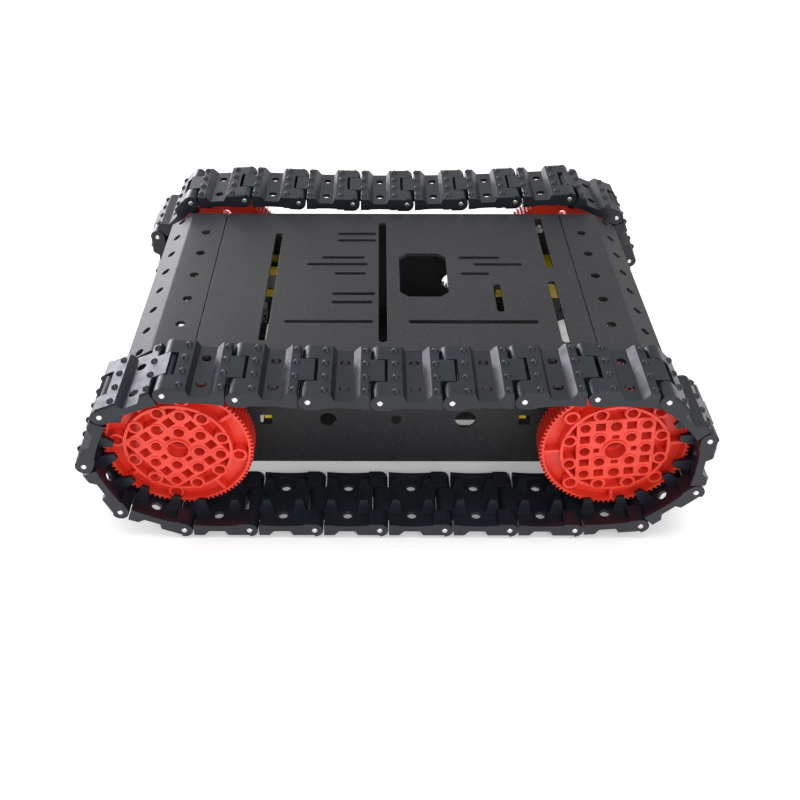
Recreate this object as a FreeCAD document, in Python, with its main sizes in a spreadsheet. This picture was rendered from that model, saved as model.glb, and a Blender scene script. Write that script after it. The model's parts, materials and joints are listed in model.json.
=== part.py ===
import FreeCAD, Part
import math
import os

import Sketcher
from FreeCAD import Placement, Rotation, Vector

# Tracked tank chassis.  +X is forward, +Y is the vehicle's left, +Z is up and
# the ground is Z = 0.  All sizes are millimetres.

os.makedirs("parts", exist_ok=True)
doc = FreeCAD.newDocument("tracked_chassis")
sheet = doc.addObject("Spreadsheet::Sheet", "sheet")

DRIVING = [
    # track
    ("link_pitch", 35.6, "distance between two track pins"),
    ("track_centre", 105.25, "middle of a track from the centre plane"),
    ("track_width", 43.0, "width of a link"),
    ("run_sag_step", 1.27, "bend between two links of the upper run, degrees"),
    ("run_entry_angle", 3.0, "fall of the upper run's last link, degrees"),
    ("rib_height", 4.6, "grouser above the pin line"),
    ("floor_top", 0.6, "outer face of the link's floor from the pin line"),
    ("floor_under", 1.6, "inner face of the link's floor from the pin line"),
    ("skirt_depth", 4.6, "side skirts inside the pin line"),
    ("skirt_thickness", 3.0, "side skirts across the link"),
    ("horn_depth", 10.6, "guide horn tips inside the pin line"),
    ("stud_height", 1.5, "domed studs above the grouser"),
    ("pin_radius", 1.5, "steel track pin"),
    ("pin_clearance", 0.08, "running clearance round a pin"),
    # wheels
    ("tooth_count", 90, "fine teeth round a wheel"),
    ("wheel_radius", 39.8, "over the teeth"),
    ("tooth_depth", 1.5, "height of a tooth"),
    ("rim_width", 12.0, "toothed rim along the axle"),
    ("disc_radius", 28.9, "perforated disc"),
    ("disc_front", 7.0, "disc face from the middle of the track"),
    ("hole_grid", 8.0, "building-system grid on the disc"),
    ("hub_radius", 6.6, "hub barrel"),
    # body
    ("sheet_thickness", 2.0, "all body panels"),
    ("deck_top", 39.0, "deck above the axles"),
    ("deck_length", 216.0, "middle deck panel"),
    ("body_half_width", 77.5, "outside of the folded-down flanges"),
    ("flange_drop", 10.0, "flanges below the deck"),
    ("bend_position", 131.0, "fold of an end cover from the middle"),
    ("slope_length", 17.0, "sloping strip of an end cover"),
    ("slope_angle", 30.0, "fall of the sloping strip, degrees"),
    ("panel_gap", 0.6, "seam between deck and end cover"),
    ("mount_hole_radius", 2.75, "round holes in deck ends and covers"),
    ("mount_hole_x", 119.2, "row of holes in the flat of a cover"),
    ("mount_hole_pitch", 26.0, "spacing of that row"),
    ("slope_hole_pitch", 21.0, "spacing of the row on the slope"),
    ("plate_bottom", 41.5, "side panels below the axles"),
    ("floor_level", 37.0, "top of the floor panel below the axles"),
    # drive units
    ("gearbox_height", 22.4, "gear case"),
    ("gearbox_thickness", 18.8, "gear case with its lid"),
    ("shaft_radius", 2.7, "output shaft"),
    ("shaft_clearance", 0.05, "shaft in its bearing"),
    ("coupling_flats", 12.0, "hexagonal coupling across flats"),
]
for row, (alias, value, note) in enumerate(DRIVING, start=1):
    sheet.set("A%d" % row, note)
    sheet.set("B%d" % row, str(value))
    sheet.setAlias("B%d" % row, alias)
doc.recompute()


def val(alias):
    return float(sheet.get(alias))


PITCH = val("link_pitch")
PIN_CIRCLE = PITCH / (2 * math.sin(math.radians(22.5)))
AXLE_Z = PIN_CIRCLE + val("rib_height") + val("stud_height")
THICK = val("sheet_thickness")
SIDE_OUTER = val("body_half_width") - THICK
SIDE_INNER = SIDE_OUTER - THICK
DECK_TOP = AXLE_Z + val("deck_top")
NODES = []


def keep(obj, node):
    """Register a finished sub-part under its node name."""
    obj.Label = node
    NODES.append(obj)
    return obj


def feature(node, shape, placement=None):
    """A sub-part whose shape is worked out from the sheet."""
    obj = doc.addObject("Part::Feature", node)
    obj.Shape = shape
    if placement is not None:
        obj.Placement = placement
    return keep(obj, node)


def box(x0, x1, y0, y1, z0, z1):
    return Part.makeBox(x1 - x0, y1 - y0, z1 - z0, Vector(x0, y0, z0))


def rod(radius, start, end):
    start, end = Vector(*start), Vector(*end)
    return Part.makeCylinder(radius, (end - start).Length, start, end - start)


def prism(points, y0, y1):
    """Outline of (x, z) points extruded from y0 to y1."""
    wire = Part.makePolygon([Vector(x, y0, z) for x, z in points + points[:1]])
    return Part.Face(wire).extrude(Vector(0, y1 - y0, 0))


def fused(shapes):
    out = shapes[0].fuse(shapes[1:]) if len(shapes) > 1 else shapes[0]
    return out.removeSplitter()


def turned(shape, centre, axis, degrees):
    out = shape.copy()
    out.rotate(Vector(*centre), Vector(*axis), degrees)
    return out


def moved(shape, x=0.0, y=0.0, z=0.0):
    out = shape.copy()
    out.translate(Vector(x, y, z))
    return out


# ---------------------------------------------------------------- track path
def upper_run():
    """Pins of the sagging upper run and the wheelbase that closes the track.

    Six links leave the rear wheel's top pin, each turned by the same small
    step against the one before it, and a seventh falls on to the front wheel's
    pin at 67.5 degrees.  The first inclination is found by bisection.
    """
    step = math.radians(val("run_sag_step"))
    entry = math.radians(val("run_entry_angle"))
    front_pin_z = PIN_CIRCLE * math.sin(math.radians(67.5))
    target = front_pin_z + PITCH * math.sin(entry) - PIN_CIRCLE

    low, high = math.radians(-12), math.radians(4)
    for _ in range(60):
        first = (low + high) / 2
        slopes = [first + step * k for k in range(6)]
        if sum(PITCH * math.sin(a) for a in slopes) < target:
            low = first
        else:
            high = first
    slopes.append(-entry)
    run = sum(PITCH * math.cos(a) for a in slopes)
    wheelbase = run - PIN_CIRCLE * math.cos(math.radians(67.5))
    x, z = -wheelbase / 2, PIN_CIRCLE
    pins = [(x, z)]
    for a in slopes:
        x += PITCH * math.cos(a)
        z += PITCH * math.sin(a)
        pins.append((x, z))
    return pins, wheelbase


UPPER, WHEELBASE = upper_run()
HALF_BASE = WHEELBASE / 2


def wheel_pin(centre_x, degrees):
    a = math.radians(degrees)
    return (centre_x + PIN_CIRCLE * math.cos(a), PIN_CIRCLE * math.sin(a))


def track_pins():
    """All pin centres of the right-hand track, clockwise from the rear top."""
    front = [wheel_pin(HALF_BASE, a) for a in (22.5, -22.5, -67.5)]
    end = front[-1]
    start = (-HALF_BASE, -PIN_CIRCLE)
    strad = math.sqrt(PITCH ** 2 - (end[1] - start[1]) ** 2)
    flat = (end[0] - strad - start[0]) / 6
    lower = [(start[0] + flat * k, start[1]) for k in range(6, -1, -1)]
    rear = [wheel_pin(-HALF_BASE, a) for a in (225, 180, 135)]
    return UPPER + front + lower + rear


PINS = track_pins()


# ---------------------------------------------------------------- track link
def guide_horn(x, side):
    """Tapered guide horn beside the wheel rim, base on the link's floor."""
    root, tip = -val("floor_under") + 0.4, -val("horn_depth")
    outline = [(-4.2, root), (-1.9, tip), (1.9, tip), (4.2, root)]
    wedge = prism(outline, 6.9, 9.7)
    shave = Part.makeBox(12, 4, 14, Vector(-6, 0, -14))
    shave = turned(shave, (0, 0, 0), (1, 0, 0), -6)
    wedge = wedge.cut(moved(shave, 0, 9.7, root))
    wedge = moved(wedge, x)
    if side < 0:
        wedge = wedge.mirror(Vector(0, 0, 0), Vector(0, 1, 0))
    return wedge


def track_link():
    """One moulded link, pins at x = -+ half a pitch, outer side up."""
    half = PITCH / 2
    edge = val("track_width") / 2
    rib, top = val("rib_height"), val("floor_top")
    under, skirt = -val("floor_under"), -val("skirt_depth")
    rear_pin, front_pin = -half, half
    tongue = 9.0
    notch = tongue + 0.6

    body = prism([(rear_pin + 4.1, under), (front_pin - 5.2, under),
                  (front_pin - 5.2, rib - 0.5), (front_pin - 5.7, rib),
                  (front_pin - 9.9, rib), (4.35, top), (-4.35, top),
                  (-6.55, rib), (rear_pin + 4.1, rib)], -edge, edge)
    pieces = [body]
    for side in (-1, 1):
        y0, y1 = sorted((side * notch, side * edge))
        pieces.append(rod(4.6, (rear_pin, y0, 0), (rear_pin, y1, 0)))
        pieces.append(box(rear_pin, rear_pin + 6, y0, y1, skirt, rib))
        s0, s1 = sorted((side * (edge - val("skirt_thickness")), side * edge))
        flank = box(rear_pin + 1, front_pin - 5.2, s0, s1, skirt, 0)
        hollow = rod(110, (-1, s0 - 1, skirt - 108.7), (-1, s1 + 1, skirt - 108.7))
        pieces.append(flank.cut(hollow))
    pieces.append(box(front_pin - 6, front_pin, -tongue, tongue, -3.8, rib))
    pieces.append(box(front_pin - 1, front_pin + 2.3, -tongue, tongue, 0, rib))
    pieces.append(rod(3.8, (front_pin, -tongue, 0), (front_pin, tongue, 0)))
    for x in (-9, 9):
        for side in (-1, 1):
            pieces.append(guide_horn(x, side))
    link = fused(pieces)

    bore = val("pin_radius") + val("pin_clearance")
    cuts = [rod(bore, (x, -edge - 1, 0), (x, edge + 1, 0)) for x in (rear_pin, front_pin)]
    for y in (-11, 11):
        cuts.append(rod(2.65, (0, y, -8), (0, y, 4)))
    for side in (-1, 1):
        chamfer = box(-half, half, 0, 4, 0, 4)
        chamfer = turned(chamfer, (0, 0, 0), (1, 0, 0), 45)
        chamfer = moved(chamfer, 0, edge, rib - 1.0)
        if side < 0:
            chamfer = chamfer.mirror(Vector(0, 0, 0), Vector(0, 1, 0))
        cuts.append(chamfer)
    link = link.cut(cuts)

    studs = []
    base, height = 1.9, val("stud_height")
    ball = (base ** 2 + height ** 2) / (2 * height)
    for x in (rear_pin + 8, front_pin - 7):
        for y in (-17.25, -5.75, 5.75, 17.25):
            studs.append(Part.makeSphere(ball, Vector(x, y, rib + height - ball)))
    return link.fuse(studs).removeSplitter()


LINK = track_link()


def placed_link(start, end, side):
    """The link between two pins of the right-hand loop, on either track."""
    cx, cz = (start[0] + end[0]) / 2, (start[1] + end[1]) / 2
    tilt = math.degrees(math.atan2(end[1] - start[1], end[0] - start[0]))
    out = turned(LINK, (0, 0, 0), (0, 1, 0), -tilt)
    out = moved(out, cx, -val("track_centre"), cz + AXLE_Z)
    return out if side == "right" else turned(out, (0, 0, 0), (0, 0, 1), 180)


# links of the right-hand loop, by the pin each one starts from; the left-hand
# track is the same loop turned half a turn about Z
RUNS = {
    "right": {"upper_run": range(0, 7), "front_wrap": range(7, 10),
              "lower_run": range(10, 17), "rear_wrap": range(17, 21)},
    "left": {"upper_run": range(0, 7), "rear_wrap": range(7, 10),
             "lower_run": range(10, 17), "front_wrap": range(17, 21)},
}


def build_tracks():
    count = len(PINS)
    for side, runs in RUNS.items():
        for run, indices in runs.items():
            links = [placed_link(PINS[i], PINS[(i + 1) % count], side) for i in indices]
            feature("track_%s_%s" % (side, run), Part.makeCompound(links))
        reach = val("track_width") / 2 + 0.4
        radius = val("pin_radius")
        sign = -1 if side == "right" else 1
        rods = []
        for x, z in PINS:
            centre = Vector(-sign * x, sign * val("track_centre"), z + AXLE_Z)
            across = Vector(0, reach, 0)
            pin = Part.makeCylinder(radius, 2 * reach, centre - across, Vector(0, 1, 0))
            rims = [e for e in pin.Edges if isinstance(e.Curve, Part.Circle)]
            rods.append(pin.makeChamfer(0.35, rims))
        feature("track_%s_pins" % side, Part.makeCompound(rods))


# -------------------------------------------------------------------- wheels
def toothed_outline():
    """Closed outline of the wheel rim, one trapezium per tooth."""
    count = int(val("tooth_count"))
    outer, root = val("wheel_radius"), val("wheel_radius") - val("tooth_depth")
    part = 2 * math.pi / count
    points = []
    for k in range(count):
        for radius, share in ((root, -0.5), (root, -0.22), (outer, -0.12), (outer, 0.12), (root, 0.22)):
            a = part * (k + share)
            points.append(Vector(radius * math.cos(a), 0, radius * math.sin(a)))
    return Part.makePolygon(points + points[:1])


def wheel_solid():
    """Wheel about the Y axis, middle of the rim at the origin, face at +Y."""
    half_rim, face = val("rim_width") / 2, val("disc_front")
    disc_r, grid = val("disc_radius"), val("hole_grid")
    back, floor = -1.5, 0.5
    rim_inner = 37.2

    def ring(outer, inner, y0, y1):
        body = rod(outer, (0, y0, 0), (0, y1, 0))
        return body.cut(rod(inner, (0, y0 - 1, 0), (0, y1 + 1, 0))) if inner else body

    def at(i, j):
        return i * grid, j * grid

    rim = Part.Face(toothed_outline()).extrude(Vector(0, 2 * half_rim, 0))
    rim = moved(rim, 0, -half_rim)
    rim = rim.cut(rod(rim_inner, (0, -half_rim - 1, 0), (0, half_rim + 1, 0)))

    outer_holes = [(i, j) for i in (-3, -1, 1, 3) for j in (-3, -1, 1, 3)
                   if abs(i) != abs(j)]
    diagonal = [(i, j) for i in (-2, 2) for j in (-2, 2)]
    inner = [(i, j) for i in (-1, 1) for j in (-1, 1)]
    straight = [(-2, 0), (2, 0), (0, -2), (0, 2)]
    holes = [(at(i, j), 2.8) for i, j in outer_holes + diagonal + inner]
    holes += [(at(i, j), 3.1 if i == 0 else 2.8) for i, j in straight]

    disc = ring(disc_r, 0, back, face)
    cuts = [rod(r, (x, back - 1, z), (x, face + 2, z)) for (x, z), r in holes]
    for i, j in [(1, 2), (2, 1)]:
        for si in (-1, 1):
            for sj in (-1, 1):
                x, z = at(i * si, j * sj)
                cuts.append(box(x - 2.6, x + 2.6, back - 1, face + 1, z - 2.5, z + 2.5))
    for s in (-1, 1):
        z = s * (grid + 0.6)
        cuts.append(box(-1.9, 1.9, back - 1, face + 1, z - 1.2, z + 1.2))
        x = s * (grid + 1.8)
        cuts.append(box(x - 1.5, x + 1.5, back - 1, face + 1, -1.5, 1.5))
    pockets = ring(disc_r - 1.6, 0, floor + 0.5, face + 1)
    lands = [box(-20.4, 20.4, floor, face + 2, -20.4, 20.4)]
    lands += [rod(4.2, (at(i, j)[0], floor, at(i, j)[1]), (at(i, j)[0], face + 2, at(i, j)[1]))
              for i, j in outer_holes + diagonal]
    disc = disc.cut(pockets.cut(lands)).cut(cuts)
    raised = [moved(ring(3.9, r, face - 0.2, face + 0.4), x, 0, z) for (x, z), r in holes]

    web = ring(rim_inner + 0.5, disc_r - 0.5, back, floor)
    ribs = []
    for k in range(4):
        spoke = box(disc_r - 0.5, rim_inner + 0.5, back, half_rim - 0.8, -1.0, 1.0)
        ribs.append(turned(spoke, (0, 0, 0), (0, 1, 0), 90 * k))
    bosses, boss_holes = [], []
    for sx in (-1, 1):
        for sz in (-1, 1):
            x, z = sx * 22.8, sz * 22.8
            bosses.append(rod(4.2, (x, back, z), (x, half_rim + 0.2, z)))
            boss_holes.append(rod(2.9, (x, floor, z), (x, face, z)))

    hub = ring(val("hub_radius"), 0, -8.0, face + 0.9)
    wheel = fused([rim, web, disc, hub] + raised + ribs + bosses)
    bores = [rod(5.6, (0, 1.0, 0), (0, face + 2, 0)), rod(4.0, (0, -9, 0), (0, 2, 0))]
    return wheel.cut(bores + boss_holes).removeSplitter()


WHEEL = wheel_solid()
# corner name, forward sign, left sign, turn of the hole grid at rest
CORNERS = [("front_right", 1, -1, 5.5), ("rear_right", -1, -1, 36.0),
           ("front_left", 1, 1, 20.0), ("rear_left", -1, 1, -14.0)]


def to_corner(shape, fore, left, turn=0.0):
    """Place a part built about the Y axis, outside at +Y, at one wheel."""
    out = turned(shape, (0, 0, 0), (0, 1, 0), turn)
    if left < 0:
        out = turned(out, (0, 0, 0), (0, 0, 1), 180)
    return moved(out, fore * HALF_BASE, left * val("track_centre"), AXLE_Z)


def hexagon(flats, y0, y1):
    r = flats / math.sqrt(3)
    points = [(r * math.cos(math.radians(60 * k)), r * math.sin(math.radians(60 * k)))
              for k in range(6)]
    return prism(points, y0, y1)


def coupling_solid():
    """Hexagonal sleeve that carries the wheel on the gearbox shaft."""
    outer_end = -4.0
    inner_end = SIDE_OUTER + 3.5 - val("track_centre")
    body = hexagon(val("coupling_flats"), inner_end, -8.0)
    body = body.fuse(rod(4.0, (0, -8.0, 0), (0, outer_end, 0))).removeSplitter()
    socket = rod(val("shaft_radius"), (0, inner_end - 1, 0), (0, inner_end + 12, 0))
    flat = box(-5, 5, inner_end - 1, inner_end + 12, 1.85, 5)
    keyed = socket.cut([flat, flat.mirror(Vector(0, 0, 0), Vector(0, 0, 1))])
    return body.cut([keyed, rod(1.5, (0, outer_end - 9, 0), (0, outer_end + 1, 0))])


def shaft_solid():
    """Output shaft with two flats, from inside the gearbox to the coupling."""
    inner_end = SIDE_INNER - 10.0 - val("track_centre")
    outer_end = SIDE_OUTER + 15.5 - val("track_centre")
    flats_from = SIDE_INNER - 0.6 - val("track_centre")
    body = rod(val("shaft_radius"), (0, inner_end, 0), (0, outer_end, 0))
    flat = box(-5, 5, flats_from, outer_end + 1, 1.85, 5)
    return body.cut([flat, flat.mirror(Vector(0, 0, 0), Vector(0, 0, 1))])


def wheel_screw_solid():
    """Pan-head screw at the bottom of the hub's bore."""
    head = rod(3.4, (0, -3.9, 0), (0, -1.6, 0))
    rims = [e for e in head.Edges if isinstance(e.Curve, Part.Circle)
            and e.Curve.Center.y > -2]
    head = head.makeFillet(0.9, rims)
    cross = [box(-1.7, 1.7, -2.9, -1, -0.4, 0.4), box(-0.4, 0.4, -2.9, -1, -1.7, 1.7)]
    return head.fuse(rod(1.5, (0, -12.0, 0), (0, -3.7, 0))).cut(cross)


def build_wheels():
    coupling, shaft, screw = coupling_solid(), shaft_solid(), wheel_screw_solid()
    for name, fore, left, turn in CORNERS:
        feature("wheel_" + name, to_corner(WHEEL, fore, left, turn))
        feature("hub_coupling_" + name, to_corner(coupling, fore, left))
        feature("output_shaft_" + name, to_corner(shaft, fore, left))
        feature("wheel_screw_" + name, to_corner(screw, fore, left, turn))


# --------------------------------------------------------------- drive units
def drive_unit():
    """Geared motor with its shaft on the Y axis, side panel face at y = 0.

    The motor points to -X.  Returns gear case, lid, motor can and end cap.
    """
    half = val("gearbox_height") / 2
    depth = val("gearbox_thickness")
    split = -depth + 4.0
    case = box(-26, 11.2, split, 0, -half, half)
    case = case.makeFillet(2.5, [e for e in case.Edges
                                 if abs(e.Length + split) < 0.01 and e.CenterOfMass.x > 0])
    nose = box(10, 16.5, split + 4, split + 7.5, -4, 4)
    nose = nose.cut(rod(1.6, (14, split, 0), (14, 0, 0)))
    cradle = box(-47, -26, -depth + 0.8, -0.8, -half, half)
    cradle = cradle.cut(rod(10.15, (-48, -depth / 2, 0), (-26, -depth / 2, 0)))
    cradle = cradle.cut(box(-48, -30, -depth + 2.5, -2.5, -half - 1, half + 1))
    window = box(-41.6, -36.5, -4, 1, -half - 1, -8.9)
    case = fused([case, nose, cradle]).cut(window)
    mounts = [rod(1.6, (-20.3, -depth - 1, z), (-20.3, 1, z)) for z in (-8.75, 8.75)]
    bearing = rod(val("shaft_radius") + val("shaft_clearance"), (0, -10.3, 0), (0, 1, 0))
    case = case.cut(mounts + [bearing])

    lid = box(-26, 11.2, -depth, split, -half, half)
    lid = lid.makeFillet(2.5, [e for e in lid.Edges
                               if abs(e.Length - 4.0) < 0.01 and e.CenterOfMass.x > 0])
    lid = lid.cut(mounts)

    can = rod(10.0, (-56, -depth / 2, 0), (-30, -depth / 2, 0))
    can = can.common(box(-57, -29, -depth / 2 - 7.6, -depth / 2 + 7.6, -11, 11))
    cap = rod(9.6, (-58.4, -depth / 2, 0), (-56, -depth / 2, 0))
    cap = cap.common(box(-59, -55, -depth / 2 - 7.3, -depth / 2 + 7.3, -11, 11))
    tags = [box(-61, -58, -depth / 2 + s * 6 - 0.4, -depth / 2 + s * 6 + 0.4, -1.4, 1.4)
            for s in (-1, 1)]
    return case, lid, can, fused([cap] + tags)


def place_drive(shape, fore, left):
    """Stand a drive unit inside the side panel of one corner."""
    out = shape if fore > 0 else shape.mirror(Vector(0, 0, 0), Vector(1, 0, 0))
    if left < 0:
        out = out.mirror(Vector(0, 0, 0), Vector(0, 1, 0))
    return moved(out, fore * HALF_BASE, left * SIDE_INNER, AXLE_Z)


def build_drives():
    case, lid, can, cap = drive_unit()
    screws, nuts = [], []
    depth = val("gearbox_thickness")
    for z in (-8.75, 8.75):
        shank = rod(1.5, (-20.3, -depth - 3.4, z), (-20.3, THICK, z))
        head = rod(2.8, (-20.3, THICK, z), (-20.3, THICK + 2.0, z))
        screws.append(fused([shank, head]))
        nut = moved(hexagon(5.5, -depth - 2.4, -depth), -20.3, 0, z)
        nuts.append(nut.cut(rod(1.5, (-20.3, -depth - 4, z), (-20.3, 0, z))))
    all_screws, all_nuts = [], []
    for name, fore, left, _ in CORNERS:
        feature("gear_case_" + name, place_drive(case, fore, left))
        feature("gear_lid_" + name, place_drive(lid, fore, left))
        feature("motor_can_" + name, place_drive(can, fore, left))
        feature("motor_cap_" + name, place_drive(cap, fore, left))
        all_screws += [place_drive(s, fore, left) for s in screws]
        all_nuts += [place_drive(n, fore, left) for n in nuts]
    feature("drive_screws", Part.makeCompound(all_screws))
    feature("drive_nuts", Part.makeCompound(all_nuts))


# ---------------------------------------------------------------- body panels
def add_slot(sketch, start, end, radius):
    """Closed round-ended slot in a sketch."""
    (x0, y0), (x1, y1) = start, end
    a = math.atan2(y1 - y0, x1 - x0)
    nx, ny = -math.sin(a) * radius, math.cos(a) * radius
    up = Vector(0, 0, 1)
    sketch.addGeometry(Part.LineSegment(Vector(x0 + nx, y0 + ny, 0), Vector(x1 + nx, y1 + ny, 0)))
    sketch.addGeometry(Part.LineSegment(Vector(x0 - nx, y0 - ny, 0), Vector(x1 - nx, y1 - ny, 0)))
    far = Part.Circle(Vector(x1, y1, 0), up, radius)
    near = Part.Circle(Vector(x0, y0, 0), up, radius)
    sketch.addGeometry(Part.ArcOfCircle(far, a - math.pi / 2, a + math.pi / 2))
    sketch.addGeometry(Part.ArcOfCircle(near, a + math.pi / 2, a + 3 * math.pi / 2))


def add_polygon(sketch, points):
    for k, (x, y) in enumerate(points):
        x1, y1 = points[(k + 1) % len(points)]
        sketch.addGeometry(Part.LineSegment(Vector(x, y, 0), Vector(x1, y1, 0)))


def add_hole(sketch, x, y, radius, alias=None):
    """Round hole, its radius bound to the sheet where an alias is given."""
    index = sketch.addGeometry(Part.Circle(Vector(x, y, 0), Vector(0, 0, 1), radius))
    if alias:
        rule = sketch.addConstraint(Sketcher.Constraint("Radius", index, radius))
        sketch.setExpression("Constraints[%d]" % rule, "sheet." + alias)


def new_sketch(body, name, role, lift=0.0):
    """Sketch on one of the body's own origin planes."""
    plane = [f for f in body.Origin.OriginFeatures if f.Role == role][0]
    sketch = body.newObject("Sketcher::SketchObject", name)
    sketch.AttachmentSupport = [(plane, "")]
    sketch.MapMode = "FlatFace"
    sketch.AttachmentOffset = Placement(Vector(0, 0, lift), Rotation())
    return sketch


def panel(node, role, draw, lift):
    """A flat panel: one sketch padded by the sheet-metal thickness."""
    body = doc.addObject("PartDesign::Body", node)
    doc.recompute()
    sketch = new_sketch(body, node + "_outline", role, lift)
    draw(sketch)
    pad = body.newObject("PartDesign::Pad", node + "_pad")
    pad.Profile = sketch
    pad.setExpression("Length", "sheet.sheet_thickness")
    doc.recompute()
    return body


def octagon(x0, x1, y0, y1, cut):
    return [(x0 + cut, y0), (x1 - cut, y0), (x1, y0 + cut), (x1, y1 - cut),
            (x1 - cut, y1), (x0 + cut, y1), (x0, y1 - cut), (x0, y0 + cut)]


# slots of the middle deck: start, end, half width
DECK_SLOTS = [
    ((-72.6, 49.0), (-72.6, -66.0), 2.2),
    ((-7.2, 63.0), (-7.2, -67.0), 2.4),
    ((-34.0, 50.5), (-12.5, 50.5), 1.5),
    ((-34.0, 42.0), (-12.5, 42.0), 1.5),
    ((-43.0, 20.8), (-19.5, 20.8), 1.5),
    ((-51.5, 12.8), (-17.5, 12.8), 1.5),
    ((-34.5, 2.0), (-18.5, 2.0), 1.5),
    ((-35.0, -20.5), (-13.0, -20.5), 1.5),
    ((-35.0, -29.5), (-14.5, -29.5), 1.5),
    ((-60.5, -49.4), (-14.0, -49.4), 1.5),
    ((8.6, -49.4), (77.5, -49.4), 1.8),
    ((40.5, 20.8), (62.5, 20.8), 1.5),
    ((49.0, 12.8), (75.5, 12.8), 1.5),
    ((40.5, 2.0), (55.0, 2.0), 1.5),
    ((59.5, -12.0), (59.5, -37.0), 2.2),
    ((93.5, 69.5), (93.5, 11.5), 2.2),
    ((92.0, -8.5), (92.0, -67.0), 2.2),
]
CABLE_HOLE = (2.8, 31.2, -23.6, 26.0)


def draw_deck(sketch):
    half_x, half_y = val("deck_length") / 2, val("body_half_width")
    add_polygon(sketch, [(-half_x, -half_y), (half_x, -half_y), (half_x, half_y), (-half_x, half_y)])
    for start, end, radius in DECK_SLOTS:
        add_slot(sketch, start, end, radius)
    add_polygon(sketch, octagon(*CABLE_HOLE, 5.0))


def add_flanges(body, node, x0, x1):
    """Fold the long edges of a flat panel down outside the side panels."""
    sketch = new_sketch(body, node + "_flanges", "XY_Plane", DECK_TOP - THICK)
    for side in (-1, 1):
        y0, y1 = sorted((side * SIDE_OUTER, side * val("body_half_width")))
        add_polygon(sketch, [(x0, y0), (x1, y0), (x1, y1), (x0, y1)])
    pad = body.newObject("PartDesign::Pad", node + "_flange_pad")
    pad.Profile = sketch
    pad.Reversed = True
    pad.setExpression("Length", "sheet.flange_drop")
    doc.recompute()


FLANGE_SCREWS_X = (-96.0, -32.0, 32.0, 96.0)
COVER_SCREW_X = 119.2
FLANGE_SCREW_Z = DECK_TOP - THICK - 5.5


def drill_flanges(body, node, positions):
    """Screw holes through both flanges of a panel."""
    sketch = new_sketch(body, node + "_flange_holes", "XZ_Plane", 0)
    for x in positions:
        add_hole(sketch, x, FLANGE_SCREW_Z, 1.6)
    cut = body.newObject("PartDesign::Pocket", node + "_flange_drill")
    cut.Profile = sketch
    cut.Type = "ThroughAll"
    cut.SideType = "Symmetric"
    doc.recompute()


def build_deck():
    body = panel("deck_panel", "XY_Plane", draw_deck, DECK_TOP - THICK)
    half = val("deck_length") / 2
    add_flanges(body, "deck_panel", -half + 1, half - 1)
    before = body.Shape.Volume
    drill_flanges(body, "deck_panel", FLANGE_SCREWS_X)
    if not body.Shape.Volume < before:
        raise RuntimeError("deck flange holes cut nothing")
    keep(body, "deck_panel")


def end_cover(fore):
    """Flat strip that continues the deck, then the folded-down slope."""
    start = val("deck_length") / 2 + val("panel_gap")
    bend, fall = val("bend_position"), math.radians(val("slope_angle"))
    length, half = val("slope_length"), val("body_half_width")
    tip = (bend + length * math.cos(fall), DECK_TOP - length * math.sin(fall))
    normal = (THICK * math.sin(fall), THICK * math.cos(fall))
    inside = bend - THICK * math.tan(fall / 2)
    outline = [(start, DECK_TOP - THICK), (start, DECK_TOP), (bend, DECK_TOP), tip,
               (tip[0] - normal[0], tip[1] - normal[1]), (inside, DECK_TOP - THICK)]
    cover = prism(outline, -half, half)
    flanges = [box(start, bend - 1.5, y0, y1, DECK_TOP - THICK - val("flange_drop"), DECK_TOP - 0.5)
               for y0, y1 in ((-half, -SIDE_OUTER), (SIDE_OUTER, half))]
    cover = fused([cover] + flanges)
    bend_edges = [e for e in cover.Edges if e.Length > 1.9 * half
                  and abs(e.CenterOfMass.x - bend) < 0.1 and abs(e.CenterOfMass.z - DECK_TOP) < 0.1]
    cover = cover.makeFillet(3.0, bend_edges)
    radius = val("mount_hole_radius")
    cuts = []
    for k in range(-2, 3):
        x, y = val("mount_hole_x"), k * val("mount_hole_pitch")
        cuts.append(rod(radius, (x, y, DECK_TOP - 5), (x, y, DECK_TOP + 1)))
    down = Vector(-math.sin(fall), 0, -math.cos(fall))
    for k in range(8):
        y = (k - 3.5) * val("slope_hole_pitch")
        centre = Vector(bend + length / 2 * math.cos(fall), y, DECK_TOP - length / 2 * math.sin(fall))
        cuts.append(Part.makeCylinder(radius - 0.1, 8, centre - down * 2, down))
    for side in (-1, 1):
        cuts.append(rod(1.6, (COVER_SCREW_X, side * (half + 1), FLANGE_SCREW_Z),
                        (COVER_SCREW_X, side * (SIDE_OUTER - 1), FLANGE_SCREW_Z)))
    cover = cover.cut(cuts)
    return cover if fore > 0 else turned(cover, (0, 0, 0), (0, 0, 1), 180)


SIDE_LOW = AXLE_Z - val("plate_bottom")
SIDE_TOP = DECK_TOP - THICK
HOLE_ROW_Z = AXLE_Z - 10.2
WINDOW_X = 73.0
BRACKET_X = (-94.8, 94.8)
BRACKET_HOLE_SHIFT = 4.0
BRACKET_Z = AXLE_Z - val("floor_level") + 6.0


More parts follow.
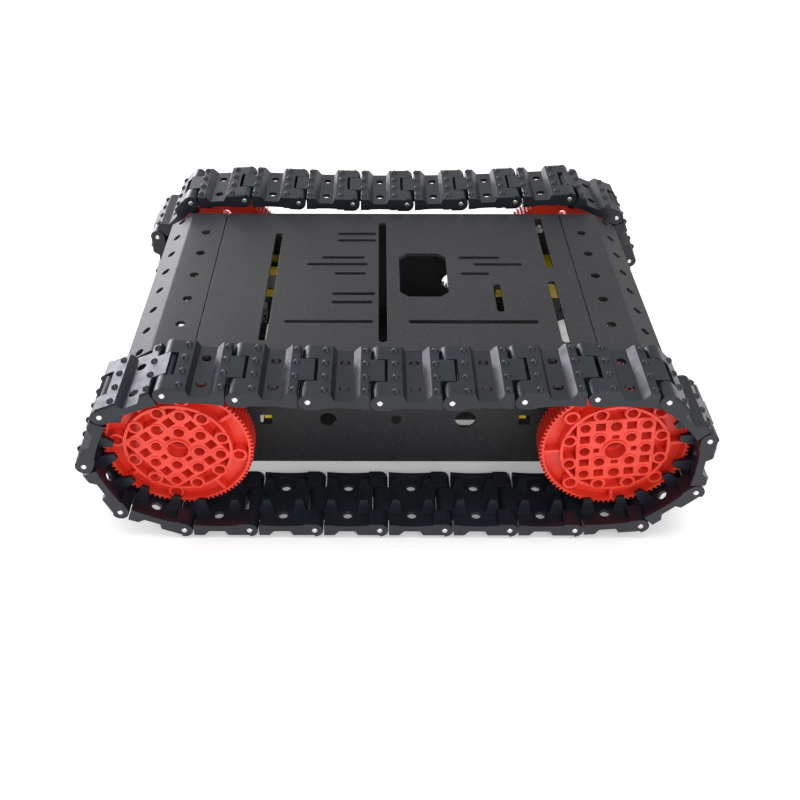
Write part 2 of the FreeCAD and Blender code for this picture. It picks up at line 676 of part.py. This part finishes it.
def draw_side(sketch):
    """Outline and openings of a side panel, seen from the right."""
    fall = math.radians(val("slope_angle"))
    shoulder = val("bend_position") - 1.2
    nose = 143.0
    nose_z = SIDE_TOP - (nose - shoulder) * math.tan(fall)
    half = [(104.0, SIDE_LOW), (nose, AXLE_Z - 14), (nose, nose_z), (shoulder, SIDE_TOP)]
    add_polygon(sketch, half + [(-x, z) for x, z in reversed(half)])
    add_hole(sketch, -38.0, HOLE_ROW_Z, 4.8)
    add_hole(sketch, 0.5, HOLE_ROW_Z, 3.1)
    add_hole(sketch, 39.5, HOLE_ROW_Z, 5.9)
    for sign in (-1, 1):
        add_hole(sketch, sign * HALF_BASE, AXLE_Z, 4.2)
        for z in (-8.75, 8.75):
            add_hole(sketch, sign * (HALF_BASE - 20.3), AXLE_Z + z, 1.6)
        w = 3.4
        x = sign * WINDOW_X
        add_polygon(sketch, [(x - w, HOLE_ROW_Z - w), (x + w, HOLE_ROW_Z - w),
                             (x + w, HOLE_ROW_Z + w), (x - w, HOLE_ROW_Z + w)])
        add_slot(sketch, (sign * 50.0, AXLE_Z + 18), (sign * 36.0, AXLE_Z + 18), 5.0)
        add_hole(sketch, sign * COVER_SCREW_X, FLANGE_SCREW_Z, 1.6)
    for x in FLANGE_SCREWS_X:
        add_hole(sketch, x, FLANGE_SCREW_Z, 1.6)
    for x in BRACKET_X:
        add_hole(sketch, x - BRACKET_HOLE_SHIFT, BRACKET_Z, 1.6)


def draw_floor(sketch):
    half_x, half_y = 103.0, SIDE_INNER
    add_polygon(sketch, [(-half_x, -half_y), (half_x, -half_y), (half_x, half_y), (-half_x, half_y)])
    for start, end in (((-13.5, 30.0), (-13.5, 66.0)), ((-13.5, -30.0), (-13.5, -66.0)),
                       ((-83.0, 36.0), (-83.0, 62.0)), ((-83.0, -36.0), (-83.0, -62.0)),
                       ((34.0, 44.0), (70.0, 44.0)), ((34.0, -44.0), (70.0, -44.0))):
        add_slot(sketch, start, end, 3.6)
    add_polygon(sketch, octagon(18.0, 54.0, -22.0, 22.0, 6.0))
    for x in BRACKET_X:
        for y in (-1, 1):
            add_hole(sketch, x + BRACKET_HOLE_SHIFT, y * (SIDE_INNER - 6.0), 1.6)


def build_panels():
    build_deck()
    for name, fore in (("front", 1), ("rear", -1)):
        feature("end_cover_" + name, end_cover(fore))
    # the XZ plane looks along +Y, so a lift of -y puts a panel at +y
    left = panel("side_panel_left", "XZ_Plane", draw_side, -SIDE_OUTER)
    right = panel("side_panel_right", "XZ_Plane", draw_side, SIDE_INNER)
    keep(left, "side_panel_left")
    keep(right, "side_panel_right")
    floor = panel("floor_panel", "XY_Plane", draw_floor, AXLE_Z - val("floor_level") - THICK)
    keep(floor, "floor_panel")


def end_wall(fore):
    """Upright panel that closes the body behind an end cover's slope."""
    x0, x1 = 138.5, 138.5 + THICK
    wall = box(x0, x1, -SIDE_INNER, SIDE_INNER, AXLE_Z - 13, AXLE_Z + 30.8)
    cuts = [box(x0 - 1, x1 + 1, y - 14, y + 14, AXLE_Z + 4, AXLE_Z + 16) for y in (-42, 0, 42)]
    for y in (-24, 24):
        cuts.append(rod(2.75, (x0 - 1, y, AXLE_Z - 4), (x1 + 1, y, AXLE_Z - 4)))
    wall = wall.cut(cuts)
    return wall if fore > 0 else turned(wall, (0, 0, 0), (0, 0, 1), 180)


def angle_bracket():
    """Small folded bracket in the corner of side panel and floor."""
    leg, sheet_t, run = 11.0, 1.6, 16.0
    low = AXLE_Z - val("floor_level")
    upright = box(-run / 2, run / 2, SIDE_INNER - sheet_t, SIDE_INNER, low, low + leg)
    foot = box(-run / 2, run / 2, SIDE_INNER - leg, SIDE_INNER, low, low + sheet_t)
    bracket = fused([upright, foot])
    shift = BRACKET_HOLE_SHIFT
    return bracket.cut([rod(1.6, (-shift, SIDE_INNER - 5, BRACKET_Z), (-shift, SIDE_INNER + 1, BRACKET_Z)),
                        rod(1.6, (shift, SIDE_INNER - 6, low - 1), (shift, SIDE_INNER - 6, low + 4))])


def round_screw(start, direction, length):
    """Pan-head screw, head on the outside of the panel at start."""
    start, direction = Vector(*start), Vector(*direction)
    head = Part.makeCylinder(2.8, 1.9, start, direction * -1)
    rims = [e for e in head.Edges if isinstance(e.Curve, Part.Circle)
            and (e.Curve.Center - start).Length > 1]
    head = head.makeFillet(0.8, rims)
    shank = Part.makeCylinder(1.5, length, start, direction)
    return head.fuse(shank).removeSplitter()


def flat_nut(start, direction):
    """Hexagonal nut with its seat at start."""
    start, direction = Vector(*start), Vector(*direction)
    r = 5.5 / math.sqrt(3)
    turn = Rotation(Vector(0, 0, 1), direction)
    corners = [start + turn.multVec(Vector(r * math.cos(math.radians(60 * k)),
                                           r * math.sin(math.radians(60 * k)), 0))
               for k in range(7)]
    nut = Part.Face(Part.makePolygon(corners)).extrude(direction * 2.4)
    return nut.cut(Part.makeCylinder(1.5, 6, start - direction, direction))


def build_fixings():
    brackets, screws, nuts = [], [], []
    low = AXLE_Z - val("floor_level")
    for x in BRACKET_X:
        for side in (-1, 1):
            inward = (0, -side, 0)
            bracket = moved(angle_bracket(), x)
            if side < 0:
                bracket = bracket.mirror(Vector(0, 0, 0), Vector(0, 1, 0))
            brackets.append(bracket)
            at_side, at_floor = x - BRACKET_HOLE_SHIFT, x + BRACKET_HOLE_SHIFT
            screws.append(round_screw((at_side, side * SIDE_OUTER, BRACKET_Z), inward, 7.0))
            nuts.append(flat_nut((at_side, side * (SIDE_INNER - 1.6), BRACKET_Z), inward))
            y = side * (SIDE_INNER - 6.0)
            screws.append(round_screw((at_floor, y, low - THICK), (0, 0, 1), 7.0))
            nuts.append(flat_nut((at_floor, y, low + 1.6), (0, 0, 1)))
    for x in FLANGE_SCREWS_X + (-COVER_SCREW_X, COVER_SCREW_X):
        for side in (-1, 1):
            inward = (0, -side, 0)
            outside = (x, side * val("body_half_width"), FLANGE_SCREW_Z)
            screws.append(round_screw(outside, inward, 7.6))
            nuts.append(flat_nut((x, side * SIDE_INNER, FLANGE_SCREW_Z), inward))
    feature("angle_brackets", Part.makeCompound(brackets))
    feature("panel_screws", Part.makeCompound(screws))
    feature("panel_nuts", Part.makeCompound(nuts))
    for name, fore in (("front", 1), ("rear", -1)):
        feature("end_wall_" + name, end_wall(fore))


build_tracks()
build_wheels()
build_drives()
build_panels()
build_fixings()
doc.recompute()

for obj in doc.Objects:
    if "Invalid" in obj.State or "Error" in obj.State:
        raise RuntimeError("%s did not recompute: %s" % (obj.Name, obj.State))
total = 0
for obj in NODES:
    shape = obj.Shape
    if shape.isNull() or not shape.isValid() or not shape.Solids:
        raise RuntimeError("bad shape in %s" % obj.Label)
    total += len(shape.Solids)
    shape.exportStep("parts/%s.step" % obj.Label)
    print("%-28s solids %3d  volume %9.0f" % (obj.Label, len(shape.Solids), shape.Volume))
print("nodes", len(NODES), "solids", total, "wheelbase %.5f" % WHEELBASE, "axle %.5f" % AXLE_Z)
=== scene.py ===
import json
import math

import bpy
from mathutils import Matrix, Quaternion, Vector

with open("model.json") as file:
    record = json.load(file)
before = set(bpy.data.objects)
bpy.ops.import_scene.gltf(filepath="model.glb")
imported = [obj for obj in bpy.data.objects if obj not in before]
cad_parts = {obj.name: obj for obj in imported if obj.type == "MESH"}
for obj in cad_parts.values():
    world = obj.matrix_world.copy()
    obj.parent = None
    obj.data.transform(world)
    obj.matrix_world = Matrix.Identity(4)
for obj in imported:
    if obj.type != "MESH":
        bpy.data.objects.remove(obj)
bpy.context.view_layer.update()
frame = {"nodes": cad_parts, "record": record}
NODES = frame["nodes"]


# ------------------------------------------------------------- material graph
class Graph:
    """The nodes of one material, worked in metres on the object's own frame."""

    def __init__(self, name):
        self.material = bpy.data.materials.new(name)
        self.material.use_nodes = True
        self.tree = self.material.node_tree
        self.shader = self.tree.nodes["Principled BSDF"]
        self.place = self.tree.nodes.new("ShaderNodeTexCoord").outputs["Object"]

    def feed(self, socket, value):
        if isinstance(value, bpy.types.NodeSocket):
            self.tree.links.new(value, socket)
        else:
            socket.default_value = value

    def node(self, kind, inputs=None, **settings):
        made = self.tree.nodes.new(kind)
        for key, value in settings.items():
            setattr(made, key, value)
        for key, value in (inputs or {}).items():
            self.feed(made.inputs[key], value)
        return made

    def set(self, **values):
        """Constants on the shader's own sockets, spaces written as underscores."""
        for key, value in values.items():
            self.shader.inputs[key.replace("_", " ")].default_value = value

    def stretched(self, scale):
        """Object coordinates scaled along each axis."""
        return self.node("ShaderNodeMapping", {"Vector": self.place, "Scale": scale}).outputs[0]

    def noise(self, scale, detail=3.0, rough=0.55, place=None):
        inputs = {"Vector": place or self.place, "Scale": scale, "Detail": detail, "Roughness": rough}
        return self.node("ShaderNodeTexNoise", inputs).outputs["Fac"]

    def ramp(self, value, low, high, out_low=0.0, out_high=1.0):
        inputs = {"Value": value, "From Min": low, "From Max": high, "To Min": out_low, "To Max": out_high}
        return self.node("ShaderNodeMapRange", inputs).outputs[0]

    def math(self, operation, a, b):
        return self.node("ShaderNodeMath", {0: a, 1: b}, operation=operation).outputs[0]

    def mix(self, factor, a, b):
        made = self.node("ShaderNodeMix", data_type="RGBA")
        self.feed(made.inputs["Factor"], factor)
        self.feed(made.inputs["A"], a)
        self.feed(made.inputs["B"], b)
        return made.outputs["Result"]

    def specks(self, scale, size, share):
        """Mask of small round specks in some of the cells of a Voronoi pattern."""
        cells = self.node("ShaderNodeTexVoronoi", {"Vector": self.place, "Scale": scale})
        pick = self.node("ShaderNodeSeparateColor", {0: cells.outputs["Color"]}).outputs[0]
        near = self.ramp(cells.outputs["Distance"], size, size * 0.6)
        return self.math("MULTIPLY", near, self.math("GREATER_THAN", pick, 1.0 - share))

    def bump(self, height, strength, distance, edge=0.0):
        """Surface relief, over softened edges of the given radius if there is one."""
        inputs = {"Height": height, "Strength": strength, "Distance": distance}
        if edge:
            inputs["Normal"] = self.node("ShaderNodeBevel", {"Radius": edge}, samples=6).outputs[0]
        self.feed(self.shader.inputs["Normal"], self.node("ShaderNodeBump", inputs).outputs[0])

    def paint(self, colour):
        self.feed(self.shader.inputs["Base Color"], colour)

    def roughness(self, value):
        self.feed(self.shader.inputs["Roughness"], value)


def powder_coat():
    """Black powder coat: orange-peel grain, cloudy tone and fine specks of painted glint."""
    g = Graph("powder_coat")
    cloud = g.ramp(g.noise(14.0, 4.0), 0.35, 0.65)
    base = g.mix(cloud, (0.008, 0.009, 0.011, 1), (0.013, 0.014, 0.016, 1))
    grain = g.noise(1500.0, 4.0, 0.6)
    base = g.mix(g.ramp(grain, 0.5, 0.75, 0.0, 0.4), base, (0.024, 0.025, 0.029, 1))
    # light specks painted into the colour as glints off the coat's flakes: painted highlight, not the
    # coat's own colour
    painted_glint_specks = g.specks(1300.0, 0.26, 0.12)
    g.paint(g.mix(painted_glint_specks, base, (0.15, 0.15, 0.17, 1)))
    g.roughness(g.ramp(grain, 0.3, 0.7, 0.42, 0.62))
    g.bump(grain, 0.35, 0.00025, edge=0.00025)
    g.set(Specular_IOR_Level=0.5)
    return g.material


def moulded_plastic(name, dark, light, scuff, rough, fine=0.12, specular=0.5):
    """Injection-moulded plastic: faint flow tone, spark-eroded grain and light rubbing."""
    g = Graph(name)
    flow = g.ramp(g.noise(45.0, 3.0), 0.35, 0.65)
    base = g.mix(flow, dark, light)
    grain = g.noise(2200.0, 2.0, 0.5)
    rubbed = g.ramp(g.noise(260.0, 6.0, 0.7), 0.60, 0.78, 0.0, 0.55)
    g.paint(g.mix(rubbed, base, scuff))
    tone = g.noise(120.0, 4.0)
    g.roughness(g.ramp(tone, 0.3, 0.7, rough - 0.07, rough + 0.07))
    g.bump(grain, fine, 0.0002)
    g.set(Specular_IOR_Level=specular)
    return g.material


def metal(name, dark, light, rough, stretch=(400.0, 400.0, 400.0), fine=0.1):
    """Bare metal with drawn or ground streaks and slightly uneven polish."""
    g = Graph(name)
    streak = g.noise(1.0, 4.0, 0.6, g.stretched(stretch))
    cloud = g.noise(90.0, 4.0)
    g.paint(g.mix(g.ramp(cloud, 0.3, 0.7), dark, light))
    g.roughness(g.ramp(streak, 0.3, 0.7, rough - 0.06, rough + 0.10))
    g.bump(streak, fine, 0.00008)
    g.set(Metallic=1.0)
    return g.material


MATERIALS = {
    "panel": powder_coat(),
    "track_link": moulded_plastic("link_plastic", (0.005, 0.007, 0.011, 1), (0.009, 0.011, 0.017, 1),
                                  (0.026, 0.030, 0.041, 1), 0.36, 0.2, 0.4),
    "wheel": moulded_plastic("wheel_plastic", (0.66, 0.030, 0.014, 1), (0.78, 0.045, 0.022, 1),
                             (0.82, 0.090, 0.055, 1), 0.36, 0.06),
    "gearbox": moulded_plastic("gearbox_plastic", (0.70, 0.46, 0.015, 1), (0.80, 0.55, 0.03, 1),
                               (0.84, 0.62, 0.10, 1), 0.38, 0.06),
    "output_shaft": moulded_plastic("white_plastic", (0.78, 0.78, 0.74, 1), (0.84, 0.84, 0.80, 1),
                                    (0.70, 0.70, 0.66, 1), 0.40, 0.05),
    "motor_cap": moulded_plastic("black_plastic", (0.020, 0.020, 0.020, 1), (0.030, 0.030, 0.030, 1),
                                 (0.06, 0.06, 0.06, 1), 0.45, 0.1),
    "track_pin": metal("ground_steel", (0.60, 0.60, 0.60, 1), (0.74, 0.74, 0.73, 1), 0.22,
                       (900.0, 60.0, 900.0)),
    "fastener": metal("zinc_plate", (0.50, 0.51, 0.52, 1), (0.66, 0.66, 0.64, 1), 0.30),
    "motor_can": metal("drawn_steel", (0.52, 0.52, 0.52, 1), (0.64, 0.64, 0.64, 1), 0.28,
                       (40.0, 900.0, 900.0)),
    "coupling": metal("turned_brass", (0.66, 0.46, 0.18, 1), (0.80, 0.60, 0.28, 1), 0.25,
                      (700.0, 700.0, 700.0)),
    "bracket": metal("mill_aluminium", (0.62, 0.62, 0.63, 1), (0.74, 0.74, 0.75, 1), 0.36,
                     (60.0, 900.0, 900.0)),
}
# width of the rounded edges in metres, where it is not the usual one
USUAL_EDGE = 0.00012
EDGE = {"track_link": 0.00035, "wheel": 0.00018, "gearbox": 0.0003, "motor_can": 0.0002}


def dress(node, slot):
    """Give a frame node its material and softened edges; thin sheet keeps crisp faces."""
    obj = NODES[node]
    obj.data.materials.clear()
    obj.data.materials.append(MATERIALS[slot])
    for face in obj.data.polygons:
        face.use_smooth = True
    weld = obj.modifiers.new("weld", "WELD")
    weld.merge_threshold = 0.00001
    if slot == "panel":
        split = obj.modifiers.new("split", "EDGE_SPLIT")
        split.split_angle = math.radians(32)
        return
    bevel = obj.modifiers.new("edge", "BEVEL")
    bevel.width = EDGE.get(slot, USUAL_EDGE)
    bevel.segments = 2
    bevel.limit_method = "ANGLE"
    bevel.angle_limit = math.radians(38)
    bevel.use_clamp_overlap = True
    level = obj.modifiers.new("normals", "WEIGHTED_NORMAL")
    level.weight = 60
    level.keep_sharp = False


for part in frame["record"]["subparts"]:
    dress(part["node"], part["material_slot"])


# -------------------------------------------------------------------- studio
def floor_material():
    g = Graph("studio_floor")
    g.paint(g.mix(g.noise(3.0, 3.0), (0.86, 0.86, 0.86, 1), (0.90, 0.90, 0.90, 1)))
    g.roughness(0.7)
    g.set(Specular_IOR_Level=0.2, Emission_Color=(1.0, 1.0, 1.0, 1), Emission_Strength=0.22)
    return g.material


mesh = bpy.data.meshes.new("floor")
mesh.from_pydata([(-6, -6, 0), (6, -6, 0), (6, 6, 0), (-6, 6, 0)], [], [(0, 1, 2, 3)])
floor = bpy.data.objects.new("floor", mesh)
floor.data.materials.append(floor_material())
bpy.context.scene.collection.objects.link(floor)


def softbox(name, position, target, size, power, colour=(1, 1, 1)):
    data = bpy.data.lights.new(name, "AREA")
    data.shape, data.size, data.size_y = "RECTANGLE", size[0], size[1]
    data.energy, data.color = power, colour
    lamp = bpy.data.objects.new(name, data)
    bpy.context.scene.collection.objects.link(lamp)
    lamp.location = position
    lamp.rotation_mode = "QUATERNION"
    lamp.rotation_quaternion = (Vector(target) - Vector(position)).to_track_quat("-Z", "Y")


softbox("overhead", (0.0, 0.0, 1.4), (0, 0, 0.05), (1.4, 1.2), 12)
softbox("left_back", (-1.0, 1.35, 0.35), (0, 0, 0.05), (1.1, 0.6), 18, (0.93, 0.93, 1.0))
softbox("front", (0.3, -1.5, 0.9), (0, 0, 0.05), (1.4, 0.8), 14)

world = bpy.data.worlds.new("studio")
world.use_nodes = True
world.node_tree.nodes["Background"].inputs["Color"].default_value = (1.0, 1.0, 1.0, 1)
world.node_tree.nodes["Background"].inputs["Strength"].default_value = 0.65
bpy.context.scene.world = world
bpy.context.scene.view_settings.view_transform = "Standard"

# -------------------------------------------------------------------- camera
YAW, PITCH, ROLL = math.radians(0.129), math.radians(38.262), math.radians(0.175)
camera_data = bpy.data.cameras.new("camera")
camera_data.sensor_width = 36.0
camera_data.lens = 44.377
camera_data.shift_x = 0.025
camera_data.clip_start, camera_data.clip_end = 0.01, 50
camera = bpy.data.objects.new("camera", camera_data)
bpy.context.scene.collection.objects.link(camera)
camera.location = (-0.009728, -0.505983, 0.396212)
camera.rotation_mode = "QUATERNION"
forward = Vector((math.sin(YAW) * math.cos(PITCH), math.cos(YAW) * math.cos(PITCH), -math.sin(PITCH)))
camera.rotation_quaternion = forward.to_track_quat("-Z", "Y") @ Quaternion((0, 0, 1), ROLL)
bpy.context.view_layer.update()
bpy.context.scene.camera = camera
